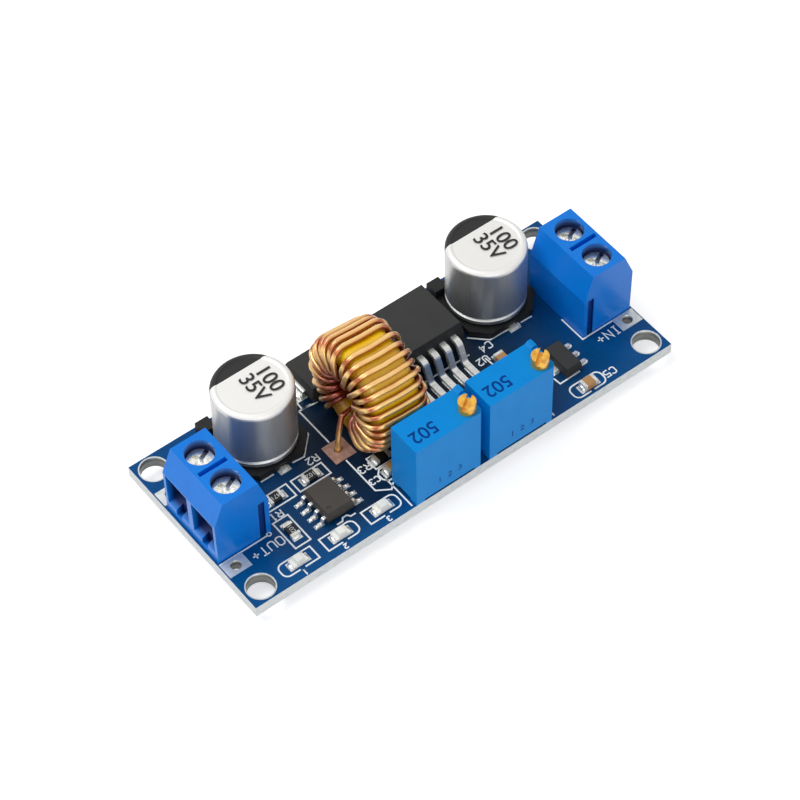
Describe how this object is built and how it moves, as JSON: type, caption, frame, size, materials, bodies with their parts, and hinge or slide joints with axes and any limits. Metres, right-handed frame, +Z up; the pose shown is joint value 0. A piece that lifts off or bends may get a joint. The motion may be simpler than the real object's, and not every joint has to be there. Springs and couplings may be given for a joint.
{
  "type": "buck converter module",
  "caption": "Long blue circuit board with a screw terminal at each end, can capacitors, a ring inductor on edge, a power chip and multi-turn trimmers with turning screws.",
  "frame": {"origin": "centre of the four mounting holes on the board's underside", "axes": "+X from the output terminal to the input terminal, +Z up out of the board's component side, so the trimmers are at -Y"},
  "size_m": [0.062, 0.0254, 0.0177],
  "materials": {
    "solder_mask": "glossy deep blue solder mask",
    "tinned_copper": "tinned copper, slightly uneven",
    "bare_copper": "dull bare copper",
    "solder": "shiny solder",
    "terminal_plastic": "saturated blue moulded plastic",
    "contact_metal": "bright tinned metal",
    "screw_steel": "bright zinc-plated steel",
    "spring_steel": "satin spring steel",
    "trimmer_plastic": "azure blue moulded plastic",
    "screw_brass": "turned brass",
    "carriage_nylon": "natural nylon",
    "wiper_metal": "gold-coloured spring strip",
    "element_ceramic": "white ceramic with a dark track",
    "seal_resin": "dark blue sealing resin",
    "can_aluminium": "satin drawn aluminium",
    "base_plastic": "black moulded plastic",
    "core_coating": "bright yellow coating",
    "enamelled_copper": "glossy copper-coloured enamel",
    "chip_resin": "charcoal moulding resin",
    "small_chip_resin": "brown-grey moulding resin",
    "resistor_film": "black glaze with a plain value code",
    "end_cap_tin": "tinned end caps",
    "ceramic_tan": "tan ceramic",
    "lamp_white": "white carrier",
    "lamp_resin": "milky resin"
  },
  "bodies": {
    "module": {"circuit_board": "solder_mask", "tinned_pads": "tinned_copper", "inductor_pads": "bare_copper", "solder_joints": "solder", "out_terminal_housing": "terminal_plastic", "in_terminal_housing": "terminal_plastic", "out_terminal_contacts": "contact_metal", "in_terminal_contacts": "contact_metal", "left_trimmer_housing": "trimmer_plastic", "right_trimmer_housing": "trimmer_plastic", "trimmer_elements": "element_ceramic", "trimmer_seals": "seal_resin", "trimmer_pins": "contact_metal", "left_capacitor_can": "can_aluminium", "right_capacitor_can": "can_aluminium", "left_capacitor_base": "base_plastic", "right_capacitor_base": "base_plastic", "capacitor_leads": "contact_metal", "inductor_core": "core_coating", "inductor_winding": "enamelled_copper", "switching_chip_body": "chip_resin", "switching_chip_tab": "contact_metal", "switching_chip_leads": "contact_metal", "diode_body": "chip_resin", "diode_leads": "contact_metal", "amplifier_chip_body": "small_chip_resin", "amplifier_chip_leads": "contact_metal", "regulator_body": "chip_resin", "regulator_leads": "contact_metal", "resistor_bodies": "resistor_film", "resistor_ends": "end_cap_tin", "ceramic_capacitor_bodies": "ceramic_tan", "ceramic_capacitor_ends": "end_cap_tin", "lamp_carriers": "lamp_white", "lamp_lenses": "lamp_resin"},
    "out_plus_guard_body": {"out_plus_guard": "spring_steel"},
    "out_plus_screw_body": {"out_plus_screw": "screw_steel"},
    "out_minus_guard_body": {"out_minus_guard": "spring_steel"},
    "out_minus_screw_body": {"out_minus_screw": "screw_steel"},
    "in_plus_guard_body": {"in_plus_guard": "spring_steel"},
    "in_plus_screw_body": {"in_plus_screw": "screw_steel"},
    "in_minus_guard_body": {"in_minus_guard": "spring_steel"},
    "in_minus_screw_body": {"in_minus_screw": "screw_steel"},
    "left_trimmer_screw_body": {"left_trimmer_screw": "screw_brass"},
    "left_trimmer_carriage_body": {"left_trimmer_carriage": "carriage_nylon", "left_trimmer_wiper": "wiper_metal"},
    "right_trimmer_screw_body": {"right_trimmer_screw": "screw_brass"},
    "right_trimmer_carriage_body": {"right_trimmer_carriage": "carriage_nylon", "right_trimmer_wiper": "wiper_metal"}
  },
  "joints": [
    {"name": "out_plus_guard_press", "type": "slide", "parent": "module", "child": "out_plus_guard_body", "axis": [0, 0, -1], "range_m": [-0.00135, 0.0009]},
    {"name": "out_plus_screw_turn", "type": "hinge", "parent": "out_plus_guard_body", "child": "out_plus_screw_body", "pos_m": [-0.02715, -0.00254, 0.01045], "axis": [0, 0, -1], "range_deg": [-1081, 721]},
    {"name": "out_minus_guard_press", "type": "slide", "parent": "module", "child": "out_minus_guard_body", "axis": [0, 0, -1], "range_m": [-0.00135, 0.0009]},
    {"name": "out_minus_screw_turn", "type": "hinge", "parent": "out_minus_guard_body", "child": "out_minus_screw_body", "pos_m": [-0.02715, 0.00254, 0.01045], "axis": [0, 0, -1], "range_deg": [-1081, 721]},
    {"name": "in_plus_guard_press", "type": "slide", "parent": "module", "child": "in_plus_guard_body", "axis": [0, 0, -1], "range_m": [-0.00135, 0.0009]},
    {"name": "in_plus_screw_turn", "type": "hinge", "parent": "in_plus_guard_body", "child": "in_plus_screw_body", "pos_m": [0.02715, -0.00274, 0.01045], "axis": [0, 0, -1], "range_deg": [-1081, 721]},
    {"name": "in_minus_guard_press", "type": "slide", "parent": "module", "child": "in_minus_guard_body", "axis": [0, 0, -1], "range_m": [-0.00135, 0.0009]},
    {"name": "in_minus_screw_turn", "type": "hinge", "parent": "in_minus_guard_body", "child": "in_minus_screw_body", "pos_m": [0.02715, 0.00234, 0.01045], "axis": [0, 0, -1], "range_deg": [-1081, 721]},
    {"name": "left_trimmer_turn", "type": "hinge", "parent": "module", "child": "left_trimmer_screw_body", "pos_m": [0.00052, -0.01135, 0.0117], "axis": [0, 0, 1], "range_deg": [-4502, 4502]},
    {"name": "left_carriage_slide", "type": "slide", "parent": "module", "child": "left_trimmer_carriage_body", "axis": [0, 0, 1], "range_m": [-0.0025, 0.0025]},
    {"name": "right_trimmer_turn", "type": "hinge", "parent": "module", "child": "right_trimmer_screw_body", "pos_m": [0.01132, -0.01135, 0.0117], "axis": [0, 0, 1], "range_deg": [-4502, 4502]},
    {"name": "right_carriage_slide", "type": "slide", "parent": "module", "child": "right_trimmer_carriage_body", "axis": [0, 0, 1], "range_m": [-0.0025, 0.0025]}
  ],
  "couplings": [
    {"joint": "out_plus_screw_turn", "follows": "out_plus_guard_press", "rad_per_m": 13963},
    {"joint": "out_minus_screw_turn", "follows": "out_minus_guard_press", "rad_per_m": 13963},
    {"joint": "in_plus_screw_turn", "follows": "in_plus_guard_press", "rad_per_m": 13963},
    {"joint": "in_minus_screw_turn", "follows": "in_minus_guard_press", "rad_per_m": 13963},
    {"joint": "left_trimmer_turn", "follows": "left_carriage_slide", "rad_per_m": 31416},
    {"joint": "right_trimmer_turn", "follows": "right_carriage_slide", "rad_per_m": 31416}
  ]
}
